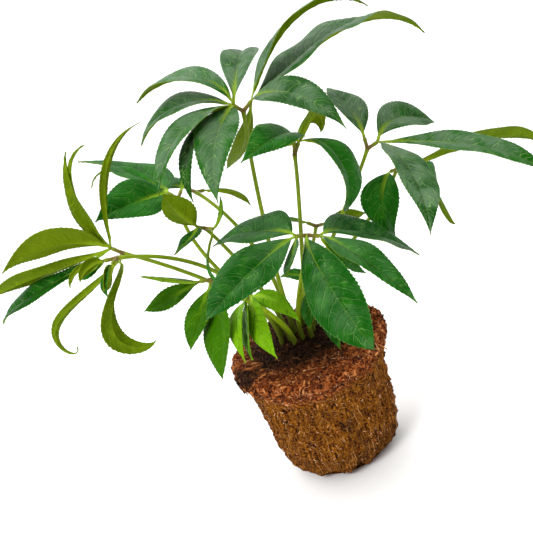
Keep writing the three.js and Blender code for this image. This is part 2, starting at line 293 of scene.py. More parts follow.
def peat_finish():
    """Ochre peat with a felt of roots; red-brown at the shoulder and on top, and painted near-black shade by
    the crown.
    """
    finish = Finish("peat")
    place = finish.place()
    x, _, z = finish.parts(place)
    drift = finish.grain(place, 45, 3)
    speckle = finish.grain(place, 560, 5)
    crumbs = finish.grain(place, 170, 4)
    felt = finish.grain(place, 520, 4, (1, 1, 0.16))
    ochre = finish.ramp(
        speckle * 0.55 + felt * 0.45,
        (0.40, (0.008, 0.002, 0.001)), (0.47, (0.110, 0.032, 0.002)),
        (0.56, (0.228, 0.077, 0.004)), (0.68, (0.440, 0.195, 0.032)),
    )
    red = finish.ramp(
        speckle * 0.6 + crumbs * 0.4,
        (0.40, (0.005, 0.001, 0.001)), (0.48, (0.110, 0.020, 0.003)),
        (0.56, (0.300, 0.075, 0.014)), (0.68, (0.540, 0.210, 0.075)),
    )
    shoulder = z - x.maths("MAXIMUM", x, 0.0) * BARK_SLANT
    band = finish.step(shoulder + drift * 0.020 + crumbs * 0.010, 0.094, 0.108)
    colour = finish.blend(band, ochre, red)
    dark = finish.ramp(speckle, (0.42, (0.0025, 0.0015, 0.001)), (0.66, (0.030, 0.011, 0.005)))
    # Painted shade: near black in the pit round the crown, and a dark spot on the left shoulder.
    colour = finish.blend(crown_shade_and_dark_spot(finish, place, drift) * 0.95, colour, dark)
    damp = finish.step(finish.grain(place, 30, 2), 0.54, 0.70) * 0.6
    colour = finish.blend(damp, colour, finish.ramp(
        speckle, (0.40, (0.008, 0.003, 0.001)), (0.65, (0.090, 0.034, 0.008)),
    ))
    height = crumbs * 0.5 + speckle * 0.3 + felt * 0.2
    return finish.coat(colour, 0.95, height, 2.8, Specular_IOR_Level=0.08)


PEAT = peat_finish()
ball_piece = new_piece("peat_ball", *ball_surface(), [PEAT])


def chip_finish(name, *stops):
    """Bark, roots and crumbs, each of one shade out of a range, with a fine grain."""
    finish = Finish(name)
    place = finish.place()
    shade = finish.carried("shade", "Fac")
    grain = finish.grain(place, 900, 3)
    colour = finish.ramp(shade * 0.8 + grain * 0.3 - 0.05, *stops)
    # Painted shade: chips and crumbs turn near black in the pit round the crown and at a dark spot on the
    # left shoulder.
    soil = crown_shade_and_dark_spot(finish, place, finish.grain(place, 45, 3))
    colour = finish.blend(soil * 0.92, colour, finish.ramp(
        shade, (0.5, (0.004, 0.002, 0.001)), (0.9, (0.040, 0.014, 0.006)), (1.0, (0.14, 0.05, 0.02)),
    ))
    return finish.coat(colour, 0.9, grain, 0.4, Specular_IOR_Level=0.12)


BARK = chip_finish(
    "bark_chip",
    (0.0, (0.006, 0.001, 0.001)), (0.28, (0.075, 0.013, 0.002)), (0.52, (0.290, 0.072, 0.012)),
    (0.80, (0.540, 0.190, 0.052)), (1.0, (0.80, 0.44, 0.20)),
)
CRUMB = chip_finish(
    "peat_crumb",
    (0.0, (0.005, 0.002, 0.001)), (0.45, (0.045, 0.012, 0.004)), (0.75, (0.170, 0.045, 0.012)),
    (1.0, (0.320, 0.115, 0.035)),
)
BARK_FIBRE = chip_finish(
    "bark_fibre",
    (0.0, (0.012, 0.003, 0.001)), (0.35, (0.160, 0.036, 0.007)), (0.7, (0.440, 0.160, 0.058)),
    (1.0, (0.820, 0.500, 0.290)),
)
SPLINTER = chip_finish(
    "bark_splinter",
    (0.0, (0.010, 0.002, 0.001)), (0.35, (0.090, 0.025, 0.004)), (0.6, (0.440, 0.170, 0.055)),
    (1.0, (0.860, 0.560, 0.350)),
)
ROOTLET = chip_finish(
    "rootlet",
    (0.0, (0.026, 0.008, 0.001)), (0.35, (0.120, 0.040, 0.004)), (0.6, (0.270, 0.105, 0.018)),
    (0.8, (0.460, 0.220, 0.070)), (1.0, (0.740, 0.490, 0.260)),
)


def flake(draw, long, wide, thick):
    """A broken chip of bark: an uneven plate, smaller on top, in millimetres."""
    count = 6
    angles = (np.arange(count) + draw.uniform(-0.3, 0.3, count)) * 2 * math.pi / count
    reach = draw.uniform(0.65, 1.0, count)
    points = []
    for level, size in ((-0.5, 1.0), (0.5, draw.uniform(0.6, 0.85))):
        for angle, r in zip(angles, reach):
            lift = thick * (level + draw.uniform(-0.15, 0.15))
            out = size * r / 2
            points.append((long * out * math.cos(angle), wide * out * math.sin(angle), lift))
    faces = [tuple(reversed(range(count))), tuple(range(count, 2 * count))]
    faces += [(k, (k + 1) % count, count + (k + 1) % count, count + k) for k in range(count)]
    return points, faces


def crumb(draw, size):
    """A crumb of peat: an uneven eight-sided lump."""
    points = [(1, 0, 0), (-1, 0, 0), (0, 1, 0), (0, -1, 0), (0, 0, 1), (0, 0, -1)]
    points = [tuple(size / 2 * draw.uniform(0.6, 1.1) * c for c in p) for p in points]
    faces = [(0, 2, 4), (2, 1, 4), (1, 3, 4), (3, 0, 4), (2, 0, 5), (1, 2, 5), (3, 1, 5), (0, 3, 5)]
    return points, faces


def tube(path, radii, sides):
    """A round stem along a row of points, closed at both ends: its points and faces."""
    path = np.asarray(path, float)
    radii = np.broadcast_to(np.asarray(radii, float), len(path))
    along = np.gradient(path, axis=0)
    along /= np.linalg.norm(along, axis=1)[:, None]
    across = np.array([1, 0.4, 0.2])
    points = []
    for centre, heading, radius in zip(path, along, radii):
        across = across - heading * (across @ heading)
        across /= np.linalg.norm(across)
        beside = np.cross(heading, across)
        for k in range(sides):
            angle = 2 * math.pi * k / sides
            points.append(centre + radius * (across * math.cos(angle) + beside * math.sin(angle)))
    faces = []
    for i in range(len(path) - 1):
        for k in range(sides):
            a, b = i * sides + k, i * sides + (k + 1) % sides
            faces.append((a, b, b + sides, a + sides))
    end = (len(path) - 1) * sides
    faces += [tuple(reversed(range(sides))), tuple(range(end, end + sides))]
    return points, faces


def rootlet(draw, long, thick, curl):
    """A fine root lying in a curve on the ground, thinner at its ends."""
    count = 4
    turn = np.cumsum(draw.uniform(-curl, curl, count))
    steps = np.stack([np.cos(turn), np.sin(turn), draw.uniform(-0.12, 0.12, count)], 1) * long / count
    path = np.concatenate([[(0, 0, 0)], np.cumsum(steps, 0)])
    path -= path.mean(0)
    return tube(path, thick / 2 * np.array([0.5, 1, 1, 0.9, 0.4]), 3)


def strewing_tree():
    """Nodes that strew the members of a collection over the ground, each turned and shaded by chance."""
    tree = bpy.data.node_groups.new("strewing", "GeometryNodeTree")
    face = tree.interface
    inputs = {
        "Ground": "Geometry", "Litter": "Collection", "Finish": "Material", "Where": "String",
        "Density": "Float", "Seed": "Int", "Smallest": "Float", "Largest": "Float", "Tilt": "Float",
        "Spin": "Float", "Sink": "Float",
    }
    for name, kind in inputs.items():
        face.new_socket(name, in_out="INPUT", socket_type="NodeSocket" + kind)
    face.new_socket("Strewn", in_out="OUTPUT", socket_type="NodeSocketGeometry")
    given = tree.nodes.new("NodeGroupInput").outputs

    def node(kind, settings=None, values=None, output=0):
        return Strand(add_node(tree, kind, settings or {}, values or {}).outputs[output])

    def chance(low, high, offset):
        seed = Strand(given["Seed"]) + offset
        values = {"Min_001": low, "Max_001": high, "Seed": seed}
        return node("FunctionNodeRandomValue", {"data_type": "FLOAT"}, values, output=1)

    where = node("GeometryNodeInputNamedAttribute", {"data_type": "FLOAT"}, {"Name": given["Where"]})
    points = add_node(tree, "GeometryNodeDistributePointsOnFaces", {}, {
        "Mesh": given["Ground"], "Density": where * given["Density"], "Seed": given["Seed"],
    })
    upright = node("FunctionNodeAlignRotationToVector", {"axis": "X", "pivot_axis": "Z"}, {
        "Rotation": points.outputs["Rotation"], "Vector": (0, 0, 1),
    })
    tilt, spin = Strand(given["Tilt"]), Strand(given["Spin"])
    euler = node("ShaderNodeCombineXYZ", {}, {
        "X": tilt * chance(-1, 1, 1), "Y": tilt * chance(-1, 1, 2), "Z": spin * chance(-1, 1, 3),
    })
    turned = node("FunctionNodeRotateRotation", {"rotation_space": "LOCAL"}, {
        "Rotation": upright, "Rotate By": node("FunctionNodeEulerToRotation", {}, {"Euler": euler}),
    })
    members = node("GeometryNodeCollectionInfo", {}, {
        "Collection": given["Litter"], "Separate Children": True, "Reset Children": True,
    })
    placed = node("GeometryNodeInstanceOnPoints", {}, {
        "Points": points.outputs["Points"], "Instance": members, "Pick Instance": True,
        "Instance Index": chance(0, 1000, 4), "Rotation": turned,
        "Scale": chance(given["Smallest"], given["Largest"], 5),
    })
    down = node("ShaderNodeCombineXYZ", {}, {"Z": Strand(given["Sink"]) * chance(-1, 0.2, 6)})
    sunk = node("GeometryNodeTranslateInstances", {}, {
        "Instances": placed, "Translation": down, "Local Space": True,
    })
    shaded = node("GeometryNodeStoreNamedAttribute", {"data_type": "FLOAT", "domain": "INSTANCE"}, {
        "Geometry": sunk, "Name": "shade", "Value": chance(0, 1, 7),
    })
    real = node("GeometryNodeRealizeInstances", {}, {"Geometry": shaded})
    finished = node("GeometryNodeSetMaterial", {}, {"Geometry": real, "Material": given["Finish"]})
    add_node(tree, "NodeGroupOutput", {}, {"Strewn": finished})
    return tree


STREWING = strewing_tree()


def strewn(name, ground, share_at, shapes, finish, **sizes):
    """A piece of small shapes, strewn over the ground as densely as share_at says for each of its points.

    The sizes fill the tree's inputs of the same names.
    """
    points = np.array([v.co for v in ground.data.vertices], float) / MM
    layer = ground.data.attributes.new(name, "FLOAT", "POINT")
    layer.data.foreach_set("value", np.clip(share_at(*points.T), 0, 1).astype(np.float32))
    litter = bpy.data.collections.new(name + "_litter")
    for number, (points, faces) in enumerate(shapes):
        sample = new_piece(f"{name}_{number}", points, faces, [])
        sample.data.polygons.foreach_set("use_smooth", [False] * len(faces))
        bpy.context.scene.collection.objects.unlink(sample)
        litter.objects.link(sample)
    modifier = ground.modifiers.new("strewing", "NODES")
    modifier.node_group = STREWING
    sizes.update(Where=name, Litter=litter, Finish=finish)
    for socket in STREWING.interface.items_tree:
        if socket.in_out == "INPUT" and socket.name in sizes:
            modifier[socket.identifier] = sizes[socket.name]
    depsgraph = bpy.context.evaluated_depsgraph_get()
    mesh = bpy.data.meshes.new_from_object(ground.evaluated_get(depsgraph), depsgraph=depsgraph)
    ground.modifiers.remove(modifier)
    for sample in list(litter.objects):
        bpy.data.objects.remove(sample)
    bpy.data.collections.remove(litter)
    mesh.name = name
    piece = bpy.data.objects.new(name, mesh)
    bpy.context.scene.collection.objects.link(piece)
    return piece


def slope(value, low, high):
    """0 below low, 1 above high, and a smooth slope between them."""
    t = np.clip((value - low) / (high - low), 0, 1)
    return t * t * (3 - 2 * t)


def bark_height(x, z):
    """Height as the bark counts it, which begins higher on the right."""
    return z - BARK_SLANT * np.maximum(x, 0)


def left_shoulder(x, y, z):
    """1 where the coarse bark hangs over the shoulder, on the left of the front."""
    bearing = np.degrees(np.arctan2(y, x))
    return slope(bearing, -178, -160) * (1 - slope(bearing, -125, -85)) * slope(z, 80, 92)


litter = np.random.default_rng(7)
litter_pieces = [
    strewn(
        "bark_chips", ball_piece,
        lambda x, y, z: (
            (slope(bark_height(x, z), 80, 94) * slope(from_crown(x, y), 18, 44) + 0.05 * slope(z, 3, 8))
            * (0.35 + 0.65 * left_shoulder(x, y, z))
        ),
        [flake(litter, *litter.uniform((5, 1.8, 0.5), (15, 4.8, 1.6))) for _ in range(16)], BARK,
        Density=80000.0, Seed=11, Smallest=0.3, Largest=1.0, Tilt=0.55, Spin=3.2, Sink=0.0005,
    ),
    strewn(
        "peat_crumbs", ball_piece, lambda x, y, z: 0.15 * slope(z, 3, 8) + slope(z, 84, 98),
        [crumb(litter, 2.4) for _ in range(8)], CRUMB,
        Density=110000.0, Seed=23, Smallest=0.35, Largest=1.25, Tilt=3.0, Spin=3.0, Sink=0.0003,
    ),
    strewn(
        "root_felt", ball_piece, lambda x, y, z: slope(z, 4, 7) * (1 - 0.85 * slope(z, 92, 102)),
        [rootlet(litter, *litter.uniform((3.5, 0.2, 0.3), (9, 0.36, 1.1))) for _ in range(16)], ROOTLET,
        Density=150000.0, Seed=37, Smallest=0.5, Largest=1.15, Tilt=0.22, Spin=3.2, Sink=0.0002,
    ),
    strewn(
        "bark_splinters", ball_piece, lambda x, y, z: slope(z, 3, 12) * (1 - slope(z, 94, 104)),
        [flake(litter, *litter.uniform((2.4, 0.7, 0.4), (5.5, 1.2, 0.8))) for _ in range(10)], SPLINTER,
        Density=45000.0, Seed=59, Smallest=0.45, Largest=1.1, Tilt=0.35, Spin=3.2, Sink=0.0001,
    ),
    strewn(
        "bark_fibres", ball_piece,
        lambda x, y, z: (
            slope(bark_height(x, z), 84, 98) * slope(from_crown(x, y), 20, 46)
            * (1 - 0.65 * left_shoulder(x, y, z))
        ),
        [rootlet(litter, *litter.uniform((3, 0.3, 0.2), (8, 0.55, 0.8))) for _ in range(12)], BARK_FIBRE,
        Density=110000.0, Seed=41, Smallest=0.5, Largest=1.2, Tilt=0.35, Spin=3.2, Sink=0.0001,
    ),
]


def root_strands(roots=420):
    """Longer roots that run down the side of the ball, close to it, and fray out at the lower edge."""
    draw = np.random.default_rng(5)
    points = [v.co / MM for v in ball_piece.data.vertices]
    ground = BVHTree.FromPolygons(points, [p.vertices[:] for p in ball_piece.data.polygons])
    all_points, all_faces, shades = [], [], []
    for number in range(roots):
        angle = draw.uniform(0, 2 * math.pi)
        high = draw.uniform(8, 80) if number % 4 == 0 else draw.uniform(6, 40)
        low = max(draw.uniform(0.8, 3.5), high - draw.uniform(8, 36))
        lean = draw.normal(0, 0.006)
        path = []
        count = max(5, int((high - low) / 2.2))
        for height in np.linspace(high, low, count):
            lean += draw.normal(0, 0.004) - lean * 0.1
            angle += lean
            outward = Vector((math.cos(angle), math.sin(angle), 0))
            outside = Vector((90 * math.cos(angle), 90 * math.sin(angle), height))
            hit = ground.ray_cast(outside, -outward)[0]
            if hit is not None:
                path.append(hit + outward * 0.15)
        if len(path) < 4:
            continue
        thick = draw.uniform(0.16, 0.34) if number % 5 else draw.uniform(0.34, 0.6)
        taper = np.linspace(1.0, 0.35, len(path))
        taper[0] = 0.3
        stem_points, stem_faces = tube([tuple(p) for p in path], thick * taper, 4)
        shift = len(all_points)
        all_points += list(stem_points)
        all_faces += [tuple(shift + k for k in f) for f in stem_faces]
        shades += [draw.uniform(0.1, 0.9)] * len(stem_points)
    piece = new_piece("root_strands", all_points, all_faces, [ROOTLET])
    piece.data.attributes.new("shade", "FLOAT", "POINT").data.foreach_set("value", shades)
    return piece


litter_pieces.append(root_strands())
for piece in [ball_piece, *litter_pieces]:
    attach(piece, "root")
    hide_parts("root_ball")

# ---- Tall leaf ----
# The tallest compound leaf, dark green and leathery, with painted grey sheen on top and a paler, duller
# underside.
# It grows as one piece: a fleshy stalk that stands in a hole in the ball and forks into two short arms, and
# from those ten toothed leaflets on purplish stalks, the youngest of them upright.

# Shares of a blade's length or half width.
BLADE_BARE = 0.04  # the foot of the midrib, which has no blade
BLADE_FOLD = 0.2  # how far the midrib lies below the margins
BLADE_BULGE = 0.10  # how far each half swells up between midrib and margin
BLADE_WAVE = 0.075  # how far the margins wave up and down
TAPER = 2.3  # how sharply a blade narrows towards its two ends
# Millimetres.
QUILT = 0.65  # how far the skin puffs up between two side veins
GROOVE = 0.30  # the groove along the top of the midrib
VEIN_RIDGE = 0.22  # how far side veins stand out underneath
TOOTH_SPACING = 3.3
TOOTH_DEPTH = 0.6
VEIN_SPACING = 10.5
RIM_WIDTH = 0.35
RIM_THICKNESS = 0.5
FORK_ARM = 9
STALK_FOOT_HEIGHT = 94.2  # the bottom of the holes that the stalks stand in
STALK_RADIUS = 1.95
STALK_TAPER = 0.6
ARM_RADIUS = 1.35
# Columns of a blade from the midrib out, as shares of the half width.
COLUMNS = np.array([0.0, 0.05, 0.12, 0.24, 0.40, 0.58, 0.76, 0.91, 1.0])


def compass(turn, rise):
    """The direction with a bearing of turn from +X and a slope of rise, in radians."""
    return np.stack([np.cos(rise) * np.cos(turn), np.cos(rise) * np.sin(turn), np.sin(rise)], -1)


def blade(draw, start, leaflet):
    """A leaflet as one closed skin: its points, its faces, each face's finish, and what the finishes read."""
    _, turn, rise, droop, sweep, length, width, roll = leaflet[:8]
    bend = leaflet[8] if len(leaflet) > 8 else 1.2
    widest = leaflet[9] if len(leaflet) > 9 else 0.5
    teeth = max(8, round(length / TOOTH_SPACING))
    phase = np.array([0.0, 0.42, 0.84])
    # Along the blade: shares of its length, with three to a tooth, and the curve that the midrib follows.
    s = np.append(((np.arange(teeth)[:, None] + phase) / teeth).ravel(), 1.0)
    fine = np.linspace(0, 1, 401)
    middle = (fine[1:] + fine[:-1]) / 2
    headings = compass(
        np.radians(turn + sweep * middle), np.radians(rise - droop * middle ** bend)
    )
    path = np.concatenate([[np.zeros(3)], np.cumsum(headings * length / 400, 0)]) + start
    rib = np.stack([np.interp(s, fine, path[:, k]) for k in range(3)], 1)
    bearing = np.radians(turn + sweep * s)
    along = compass(bearing, np.radians(rise - droop * s ** bend))
    level = np.stack([-np.sin(bearing), np.cos(bearing), 0 * s], 1)
    angle = math.radians(roll)
    across = level * math.cos(angle) + np.cross(along, level) * math.sin(angle)
    out = np.cross(along, across)

    # Its outline: half widths from foot to tip, and how far the teeth stand out of them.
    u = np.clip((s - BLADE_BARE) / (1 - BLADE_BARE), 0, 1)
    swell = (u / widest) ** (TAPER * widest) * ((1 - u) / (1 - widest)) ** (TAPER * (1 - widest))
    half = np.maximum(width / 2 * swell, np.where(s < 0.5, 1.2, 0.3 + 0.2 * (1 - s)))
    stalk = 1 - slope(s, 0.01, 0.09)
    toothed = slope(s, 0.2, 0.3) * (1 - slope(s, 0.955, 0.985))
    rise_of_tooth = np.tile([-0.5, 0.15, 1.0], teeth)
    sizes = np.repeat(draw.uniform(0.55, 1.3, teeth), 3)
    tooth = np.append(rise_of_tooth * sizes, 0) * TOOTH_DEPTH * toothed * np.minimum(1, half / 8)

    # Its relief, in columns that run along the blade: height over the flat blade, and thickness.
    distance = s * length
    waves = draw.uniform(0, 2 * math.pi, 4)
    ripple = draw.uniform(0.5, 1.2)
    columns = []
    for side in (1, -1):
        # The last column, after those with a share, is the margin itself.
        for column, share in enumerate([*COLUMNS, None]):
            if column == 0 and side == -1:
                continue
            if share is None:
                offset = half + tooth
                q = np.ones_like(s)
            else:
                offset = share * np.maximum(half - RIM_WIDTH, half * 0.8)
                offset = offset + (tooth if share == 1.0 else 0)
                q = offset / half
            q = np.clip(q, 0, 1)
            shift = 0.5 * (side < 0)
            wander = 0.30 * np.sin(distance / 17 + waves[0] + side)
            wander = wander + 0.16 * np.sin(distance / 6.1 + waves[1])
            arch = 0.6 + 0.85 * q + 0.25 * np.sin(distance / 13 + waves[3] + 2 * side)
            veins = (distance - offset * arch) / VEIN_SPACING + shift + wander
            near_vein = 0.5 - np.abs(veins - np.floor(veins) - 0.5)
            quilt = (np.sin(np.pi * np.minimum(1, near_vein * 2.6) / 2) - 0.6) * QUILT
            quilt = quilt * np.sin(np.pi * np.clip(q * 0.94 + 0.06, 0, 1)) ** 0.6 * (1 - stalk)
            dip = -BLADE_FOLD * half * (1 - q) + BLADE_BULGE * half * np.sin(np.pi * q) * (1 - stalk)
            wave = half * ripple * BLADE_WAVE * q ** 2 * np.sin(distance / 8.5 + waves[2] + 1.4 * side)
            groove = -GROOVE * np.exp(-((offset / 0.8) ** 2)) * (1 - stalk) * (1 - s)
            arc = np.sqrt(np.clip(1 - q ** 2, 0, 1))
            round_stalk = 0.8 * arc * stalk
            top = dip + wave + (quilt + groove + round_stalk if share is not None else 0)
            ridge = (0.35 + 0.75 * (1 - s)) * np.exp(-((offset / (0.5 + 0.6 * (1 - s))) ** 2))
            thick = RIM_THICKNESS * (1 - stalk) + ridge * (1 - stalk) + stalk * arc
            thick = thick + VEIN_RIDGE * np.exp(-((near_vein / 0.09) ** 2)) * q * (1 - q) * 4
            thick = np.maximum(thick, 0.1)
            columns.append((side * column, side * offset, top, thick, veins, q))
    # The columns run from the right margin through the midrib to the left one.
    columns.sort(key=lambda column: column[0])
    offsets, tops, thicks, veins, q = (np.stack(values, 1) for values in list(zip(*columns))[1:])
    shape = offsets.shape
    count = shape[1]
    flat = rib[:, None] + across[:, None] * offsets[..., None]
    upper = flat + out[:, None] * tops[..., None]
    under = flat[:, 1:-1] + out[:, None] * (tops - thicks)[:, 1:-1, None]
    points = np.concatenate([upper.reshape(-1, 3), under.reshape(-1, 3)])
    upper_at = np.arange(shape[0] * count).reshape(shape)
    under_at = np.concatenate([
        upper_at[:, :1], np.arange(shape[0] * (count - 2)).reshape(shape[0], -1) + upper_at.size,
        upper_at[:, -1:],
    ], 1)

    def quads(grid):
        return np.stack([grid[:-1, :-1], grid[1:, :-1], grid[1:, 1:], grid[:-1, 1:]], -1).reshape(-1, 4)

    ends = []
    for row in (0, -1):
        ring = [*upper_at[row], *under_at[row, -2:0:-1]]
        ends.append(tuple(ring) if row == 0 else tuple(reversed(ring)))
    faces = [*map(tuple, quads(upper_at).tolist()), *map(tuple, quads(under_at)[:, ::-1].tolist()), *ends]
    kinds = [0] * len(quads(upper_at)) + [1] * len(quads(under_at)) + [1, 1]

    def spread(values):
        return np.concatenate([values.ravel(), values[:, 1:-1].ravel()])

    near = np.stack([spread(offsets), spread(np.repeat(distance[:, None], count, 1)), spread(veins)], 1)
    tone = draw.uniform(0, 1)
    far = np.stack([spread(q), spread(np.repeat(s[:, None], count, 1)), np.full(len(near), tone)], 1)
    return points, faces, kinds, near, far


# Painted sheen: the grey painted on upward-facing leaf tops in place of the bright sky's reflection.
SHEEN_GREY = (0.085, 0.148, 0.080)
LEAFLET_FOOT_BROWN = (0.110, 0.045, 0.022)
FLECK_BROWN = (0.055, 0.028, 0.012)
# Painted shade: the dark olive of the stalks low down at the crown, where the leaves above shade them.
STALK_FOOT_SHADE = (0.060, 0.062, 0.008)
FORK_PURPLE = (0.120, 0.042, 0.022)


def leaf_finish(name, dark, light, sheen_tint, vein, rib, roughness, depth, sheen, sheen_paint=0.0):
    """The skin of a blade: midrib fading towards the tip, arching side veins, a net between them, and painted
    sheen.
    """
    finish = Finish(name)
    offset, distance, veins = finish.parts(finish.carried("near"))
    q, s, tone = finish.parts(finish.carried("far"))
    away = offset.maths("ABSOLUTE", offset)
    flat = finish.node("ShaderNodeCombineXYZ", {}, {"X": offset, "Y": distance, "Z": tone * 40})
    drift = finish.clouds(flat, 0.16, 2, output=1)
    along_veins = finish.node("ShaderNodeCombineXYZ", {}, {
        "X": veins * VEIN_SPACING, "Y": offset * 0.8, "Z": tone * 40,
    })
    bent = finish.node("ShaderNodeVectorMath", {"operation": "MULTIPLY_ADD"}, {
        "Vector": drift, "Vector_001": (4.0, 4.0, 4.0), "Vector_002": along_veins,
    })
    nets = []
    for scale, thin, wide in ((0.12, 0.003, 0.022), (0.42, 0.02, 0.07)):
        values = {"Vector": bent, "Scale": scale}
        edge = finish.node("ShaderNodeTexVoronoi", {"feature": "DISTANCE_TO_EDGE"}, values)
        nets.append(1 - finish.step(edge, thin, wide))
    broad_net, fine_net = nets
    mottle = finish.clouds(flat, 0.05, 3)
    patches = finish.clouds(flat, 0.09, 4)
    pores = finish.clouds(flat, 1.7, 2)
    near_vein = veins.maths("PINGPONG", veins + finish.parts(drift)[0] * 0.6, 0.5)
    side_vein = (1 - finish.step(near_vein, 0.006, 0.030)) * (1 - finish.step(q, 0.6, 0.9) * 0.8)
    midrib = 1 - finish.step(away, 0.12, 0.5)
    base = (1 - finish.step(distance, 4, 34)) * (1 - finish.step(away, 0.3, 2.8))
    stalk = 1 - finish.step(s, 0.01, 0.07)
    colour = finish.blend(finish.step(mottle * 0.75 + tone * 0.35, 0.30, 0.80), dark, light)
    # Painted sheen: lighter patches away from the margin, standing in for the leaves' glossy shine.
    sheen_patches = finish.step(patches, 0.46, 0.70) * (1 - finish.step(q, 0.55, 1.0)) * 0.5
    colour = finish.blend(sheen_patches, colour, sheen_tint)
    # Painted sheen: faces that turn upwards are painted grey where they would mirror the bright sky.
    if sheen_paint:
        upward = finish.parts(finish.node("ShaderNodeTexCoord", output="Normal"))[2]
        painted_sheen = finish.step(upward * 0.6 + mottle * 3.4 - q * 0.4, 1.60, 2.40) * sheen_paint
        colour = finish.blend(painted_sheen, colour, SHEEN_GREY)
    drawn = side_vein * (patches * 0.85 + 0.05) + broad_net * (patches * 1.25 - 0.18) + fine_net * 0.10
    colour = finish.blend(drawn.maths("MINIMUM", drawn, 0.6), colour, vein)
    colour = finish.blend(finish.step(q, 0.965, 1.0) * 0.45, colour, vein)
    line = midrib * (0.95 - finish.step(s, 0.12, 0.50) * 0.86)
    pale = line.maths("MAXIMUM", line, base * 0.75)
    colour = finish.blend(pale, colour, rib)
    foot = finish.blend(1 - finish.step(distance + mottle * 5, 1.5, 5.5), rib, LEAFLET_FOOT_BROWN)
    colour = finish.blend(stalk, colour, foot)
    furrow = (1 - finish.step(near_vein, 0.0, 0.16)) * (1 - finish.step(q, 0.75, 1.0))
    height = pores * 0.2 + patches * abs(depth) - furrow * depth
    height = height - broad_net * depth * 0.4 - fine_net * depth * 0.2
    gloss = pores * 0.10 + patches * 0.36 + (roughness - 0.23)
    return finish.coat(colour, gloss, height, 0.6, Specular_IOR_Level=sheen)


def stalk_finish(name, green, bright):
    """Fleshy stalk: yellow-green, finely ribbed and flecked, purple-brown at the fork, with painted shade at
    its foot.
    """
    finish = Finish(name)
    near = finish.carried("near")
    _, s, fork = finish.parts(finish.carried("far"))
    flecks = finish.clouds(near, 0.55, 3)
    streaks = finish.grain(near, 1.6, 2, (1, 0.12, 1))
    colour = finish.blend(finish.step(streaks, 0.35, 0.68), green, bright)
    colour = finish.blend(finish.step(flecks, 0.66, 0.74) * 0.55, colour, FLECK_BROWN)
    # Painted shade darkens the stalk towards its foot.
    colour = finish.blend((1 - finish.step(s, 0.04, 0.30)) * 0.75, colour, STALK_FOOT_SHADE)
    colour = finish.blend(finish.step(fork + flecks * 0.35, 0.62, 1.15) * 0.85, colour, FORK_PURPLE)
    return finish.coat(colour, streaks * 0.15 + 0.40, streaks, 0.15, Specular_IOR_Level=0.15)


def skins(age, top, under, stalk):
    """The three finishes of a leaf of one age, in the order of its faces: top, underside and stalk."""
    return [
        leaf_finish(age + "_leaf_top", **top), leaf_finish(age + "_leaf_underside", **under),
        stalk_finish(age + "_stalk", **stalk),
    ]


MATURE = skins(
    "mature",
    top=dict(
        dark=(0.001, 0.054, 0.0001), light=(0.007, 0.122, 0.0002), sheen_tint=(0.025, 0.160, 0.005),
        vein=(0.135, 0.300, 0.060), rib=(0.300, 0.470, 0.025), roughness=0.32, depth=0.9, sheen=0.025,
        sheen_paint=0.04,
    ),
    under=dict(
        dark=(0.074, 0.130, 0.0004), light=(0.116, 0.180, 0.0008), sheen_tint=(0.140, 0.200, 0.003),
        vein=(0.205, 0.290, 0.010), rib=(0.280, 0.390, 0.012), roughness=0.55, depth=-0.4, sheen=0.04,
    ),
    stalk=dict(green=(0.130, 0.200, 0.002), bright=(0.215, 0.305, 0.006)),
)
# The tops of the tall and right leaves, with strong painted grey sheen on faces that turn upwards.
SHEEN_PAINTED_TOP = leaf_finish(
    "sheen_painted_leaf_top",
    dark=(0.001, 0.045, 0.0001), light=(0.006, 0.100, 0.0002), sheen_tint=(0.022, 0.140, 0.005),
    vein=(0.230, 0.400, 0.120), rib=(0.300, 0.440, 0.025), roughness=0.34, depth=0.8, sheen=0.05,
    sheen_paint=0.78,
)
SHEEN_PAINTED = [SHEEN_PAINTED_TOP, *MATURE[1:]]


def fork_and_stalk(foot, hub, arrive, starts):
    """The stalk from its hole to the fork, and the two arms, with what their finish reads."""
    foot = np.array([*foot, STALK_FOOT_HEIGHT])
    mouth = np.array([foot[0], foot[1], BALL_HEIGHT + HEAP + 2])
    reach = hub - mouth
    length = np.linalg.norm(reach)
    up = np.array([0, 0, 1.0])
    before = hub - 0.35 * (1 - arrive) * reach - up * 0.35 * length * arrive
    above = mouth + up * 0.2 * length
    t = np.linspace(0, 1, 40)[:, None]
    path = (1 - t) ** 3 * mouth + 3 * (1 - t) ** 2 * t * above
    path = path + 3 * (1 - t) * t ** 2 * before + t ** 3 * hub
    path = np.concatenate([[foot], path])
    share = np.linspace(0, 1, len(path))
    at_fork = slope(share, 0.965, 1.0)
    radii = STALK_RADIUS - STALK_TAPER * share + 0.5 * at_fork + 0.25 * (1 - slope(share, 0.0, 0.14))
    parts = [(path, radii, share, 0.75 * at_fork)]
    for start in starts:
        run = np.linspace(0, 1, 9)[:, None]
        arm = hub + (start - hub) * (run * 1.16 - 0.08)
        swell = ARM_RADIUS + 0.55 * np.abs(run[:, 0] - 0.5) ** 1.5 * 2.8
        swell[[0, -1]] *= 0.35
        swell[[1, -2]] *= 0.85
        parts.append((arm, swell, np.ones(len(run)), 1.0 - 0.45 * run[:, 0]))
    points, faces, near, far = [], [], [], []
    sides = 14
    for path, radii, share, fork in parts:
        ring_points, ring_faces = tube(path, radii, sides)
        shift = len(points)
        points += list(ring_points)
        faces += [tuple(shift + k for k in f) for f in ring_faces]
        distance = np.concatenate([[0], np.cumsum(np.linalg.norm(np.diff(path, axis=0), axis=1))])
        for i in range(len(path)):
            for k in range(sides):
                angle = 2 * math.pi * k / sides
                near.append((2 * math.cos(angle), distance[i], 2 * math.sin(angle)))
                far.append((0, share[i], fork[i]))
    return points, faces, near, far


